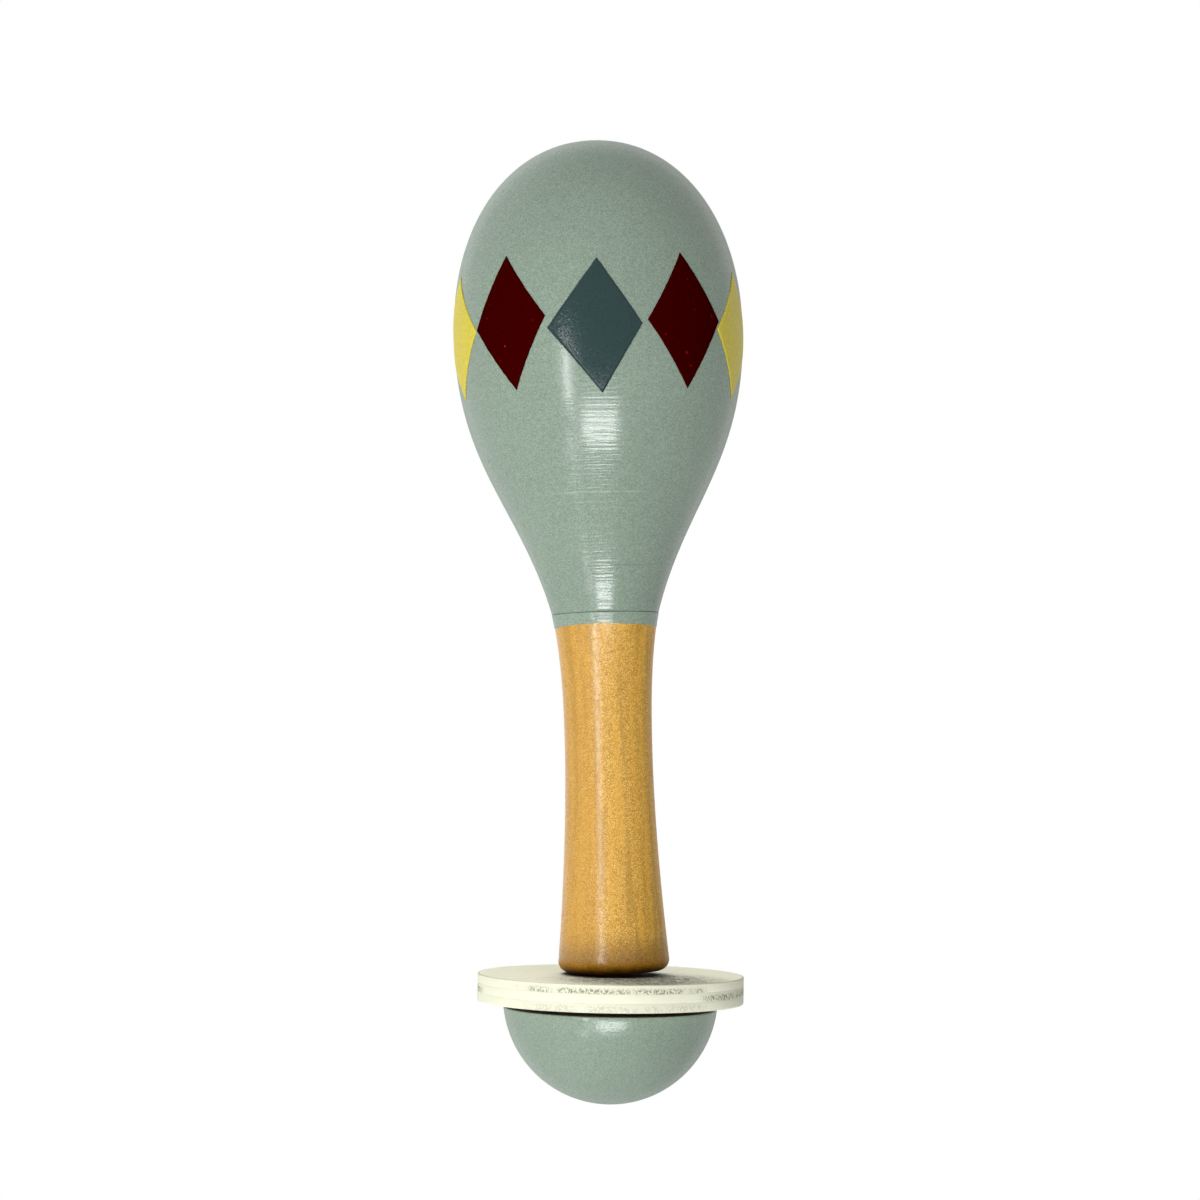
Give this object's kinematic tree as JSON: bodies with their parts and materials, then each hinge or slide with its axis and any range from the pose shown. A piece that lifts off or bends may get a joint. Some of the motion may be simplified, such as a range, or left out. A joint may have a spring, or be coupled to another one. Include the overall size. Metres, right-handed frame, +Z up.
{
  "type": "maraca",
  "caption": "Turned wooden maraca: painted egg-shaped head with a ring of diamonds and loose beads inside, waisted varnished handle, plugged into a plywood disc and dome base.",
  "frame": {"origin": "on the maraca's axis at the handle's waist, where a hand holds it", "axes": "+Z up along the handle towards the head, -Y the side that the picture shows, +X to its right"},
  "size_m": [0.066, 0.066, 0.2162],
  "materials": {
    "sage_paint": "grey-green satin paint on turned wood",
    "varnished_wood": "honey-coloured varnished hardwood, satin",
    "raw_plywood": "raw pale three-ply board, matt",
    "dowel_wood": "plain hardwood dowel, matt",
    "bead_wood": "plain dark wooden beads",
    "blue_film": "slate blue film, satin",
    "red_film": "very dark red film, satin",
    "yellow_film": "yellow film, satin"
  },
  "bodies": {
    "maraca": {"head_crown": "sage_paint", "head_neck": "sage_paint", "handle": "varnished_wood", "diamond_01_blue": "blue_film", "diamond_02_red": "red_film", "diamond_03_yellow": "yellow_film", "diamond_04_red": "red_film", "diamond_05_blue": "blue_film", "diamond_06_red": "red_film", "diamond_07_blue": "blue_film", "diamond_08_red": "red_film", "diamond_09_yellow": "yellow_film", "diamond_10_red": "red_film"},
    "base": {"base_disc": "raw_plywood", "base_dome": "sage_paint", "base_dowel": "dowel_wood"},
    "bead_01": {"rattle_bead_01": "bead_wood"},
    "bead_02": {"rattle_bead_02": "bead_wood"},
    "bead_03": {"rattle_bead_03": "bead_wood"},
    "bead_04": {"rattle_bead_04": "bead_wood"},
    "bead_05": {"rattle_bead_05": "bead_wood"},
    "bead_06": {"rattle_bead_06": "bead_wood"},
    "bead_07": {"rattle_bead_07": "bead_wood"},
    "bead_08": {"rattle_bead_08": "bead_wood"},
    "bead_09": {"rattle_bead_09": "bead_wood"},
    "bead_10": {"rattle_bead_10": "bead_wood"},
    "bead_11": {"rattle_bead_11": "bead_wood"},
    "bead_12": {"rattle_bead_12": "bead_wood"},
    "bead_13": {"rattle_bead_13": "bead_wood"},
    "bead_14": {"rattle_bead_14": "bead_wood"},
    "bead_15": {"rattle_bead_15": "bead_wood"},
    "bead_16": {"rattle_bead_16": "bead_wood"}
  },
  "joints": [
    {"name": "base_pull_off", "type": "slide", "parent": "maraca", "child": "base", "axis": [-0.041, 0, -0.9992], "range_m": [0, 0.02]},
    {"name": "bead_01_bounce", "type": "slide", "parent": "maraca", "child": "bead_01", "axis": [0, 0, 1], "range_m": [0, 0.0657]},
    {"name": "bead_02_bounce", "type": "slide", "parent": "maraca", "child": "bead_02", "axis": [0, 0, 1], "range_m": [0, 0.0647]},
    {"name": "bead_03_bounce", "type": "slide", "parent": "maraca", "child": "bead_03", "axis": [0, 0, 1], "range_m": [0, 0.0647]},
    {"name": "bead_04_bounce", "type": "slide", "parent": "maraca", "child": "bead_04", "axis": [0, 0, 1], "range_m": [0, 0.0647]},
    {"name": "bead_05_bounce", "type": "slide", "parent": "maraca", "child": "bead_05", "axis": [0, 0, 1], "range_m": [0, 0.0647]},
    {"name": "bead_06_bounce", "type": "slide", "parent": "maraca", "child": "bead_06", "axis": [0, 0, 1], "range_m": [0, 0.0647]},
    {"name": "bead_07_bounce", "type": "slide", "parent": "maraca", "child": "bead_07", "axis": [0, 0, 1], "range_m": [0, 0.0647]},
    {"name": "bead_08_bounce", "type": "slide", "parent": "maraca", "child": "bead_08", "axis": [0, 0, 1], "range_m": [0, 0.0613]},
    {"name": "bead_09_bounce", "type": "slide", "parent": "maraca", "child": "bead_09", "axis": [0, 0, 1], "range_m": [0, 0.0613]},
    {"name": "bead_10_bounce", "type": "slide", "parent": "maraca", "child": "bead_10", "axis": [0, 0, 1], "range_m": [0, 0.0613]},
    {"name": "bead_11_bounce", "type": "slide", "parent": "maraca", "child": "bead_11", "axis": [0, 0, 1], "range_m": [0, 0.0613]},
    {"name": "bead_12_bounce", "type": "slide", "parent": "maraca", "child": "bead_12", "axis": [0, 0, 1], "range_m": [0, 0.0613]},
    {"name": "bead_13_bounce", "type": "slide", "parent": "maraca", "child": "bead_13", "axis": [0, 0, 1], "range_m": [0, 0.0613]},
    {"name": "bead_14_bounce", "type": "slide", "parent": "maraca", "child": "bead_14", "axis": [0, 0, 1], "range_m": [0, 0.0613]},
    {"name": "bead_15_bounce", "type": "slide", "parent": "maraca", "child": "bead_15", "axis": [0, 0, 1], "range_m": [0, 0.0613]},
    {"name": "bead_16_bounce", "type": "slide", "parent": "maraca", "child": "bead_16", "axis": [0, 0, 1], "range_m": [0, 0.0613]}
  ]
}
